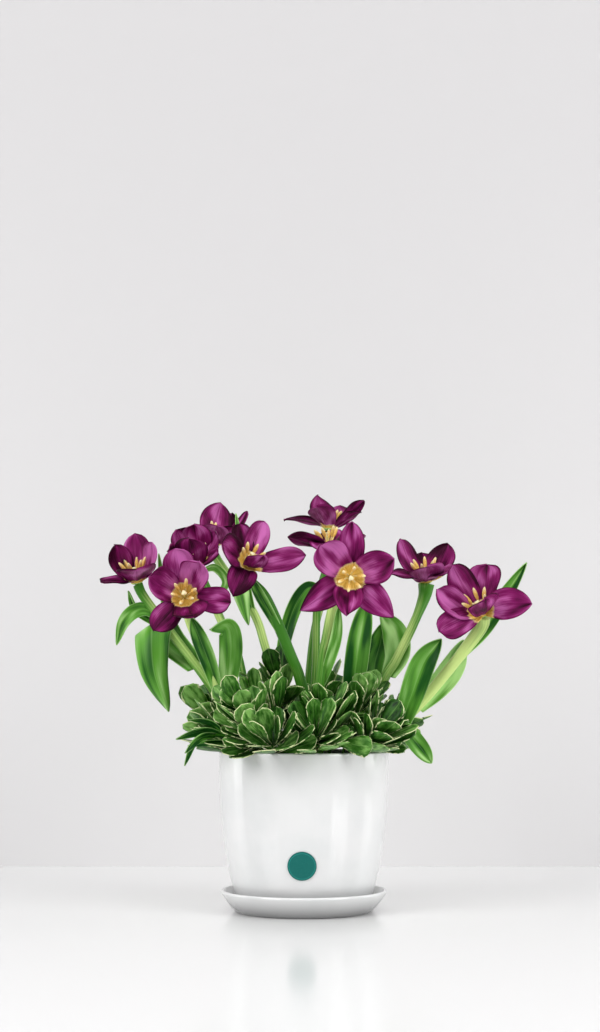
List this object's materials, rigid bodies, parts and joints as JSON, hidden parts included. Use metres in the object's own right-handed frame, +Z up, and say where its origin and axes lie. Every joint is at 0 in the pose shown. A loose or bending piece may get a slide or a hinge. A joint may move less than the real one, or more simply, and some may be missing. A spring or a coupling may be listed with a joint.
{
  "type": "potted tulip",
  "caption": "Open purple tulips with yellow centres, underplanted with cream-edged leafy sprigs, in a round white glazed pot on its saucer.",
  "frame": {"origin": "centre of the saucer's flat underside", "axes": "+Z up, -Y towards the viewer and the side with the round label, +X to the viewer's right"},
  "size_m": [0.4511, 0.258, 0.4562],
  "materials": {
    "white_glaze": "gloss",
    "teal_label": "satin",
    "potting_soil": "crumbly matte",
    "purple_petal": "silky, veined",
    "yellow_centre": "matte",
    "tulip_green": "satin, veined",
    "sprig_green": "satin with cream margins"
  },
  "bodies": {
    "root": {"drooping_spray": "sprig_green", "label": "teal_label", "pot": "white_glaze", "saucer": "white_glaze", "soil": "potting_soil", "sprig_01": "sprig_green", "sprig_02": "sprig_green", "sprig_03": "sprig_green", "sprig_04": "sprig_green", "sprig_05": "sprig_green", "sprig_06": "sprig_green", "sprig_07": "sprig_green", "sprig_08": "sprig_green", "sprig_09": "sprig_green", "sprig_10": "sprig_green", "sprig_11": "sprig_green", "sprig_12": "sprig_green", "sprig_13": "sprig_green", "sprig_14": "sprig_green", "sprig_15": "sprig_green", "sprig_16": "sprig_green", "sprig_17": "sprig_green", "sprig_18": "sprig_green", "sprig_19": "sprig_green", "sprig_20": "sprig_green", "sprig_21": "sprig_green", "sprig_22": "sprig_green", "tulip_10_centre": "yellow_centre", "tulip_10_petals": "purple_petal", "tulip_10_stem": "tulip_green", "tulip_1_centre": "yellow_centre", "tulip_1_petals": "purple_petal", "tulip_1_stem": "tulip_green", "tulip_2_centre": "yellow_centre", "tulip_2_petals": "purple_petal", "tulip_2_stem": "tulip_green", "tulip_3_centre": "yellow_centre", "tulip_3_petals": "purple_petal", "tulip_3_stem": "tulip_green", "tulip_4_centre": "yellow_centre", "tulip_4_petals": "purple_petal", "tulip_4_stem": "tulip_green", "tulip_5_centre": "yellow_centre", "tulip_5_petals": "purple_petal", "tulip_5_stem": "tulip_green", "tulip_6_centre": "yellow_centre", "tulip_6_petals": "purple_petal", "tulip_6_stem": "tulip_green", "tulip_7_centre": "yellow_centre", "tulip_7_petals": "purple_petal", "tulip_7_stem": "tulip_green", "tulip_8_centre": "yellow_centre", "tulip_8_petals": "purple_petal", "tulip_8_stem": "tulip_green", "tulip_9_centre": "yellow_centre", "tulip_9_petals": "purple_petal", "tulip_9_stem": "tulip_green"}
  },
  "joints": []
}
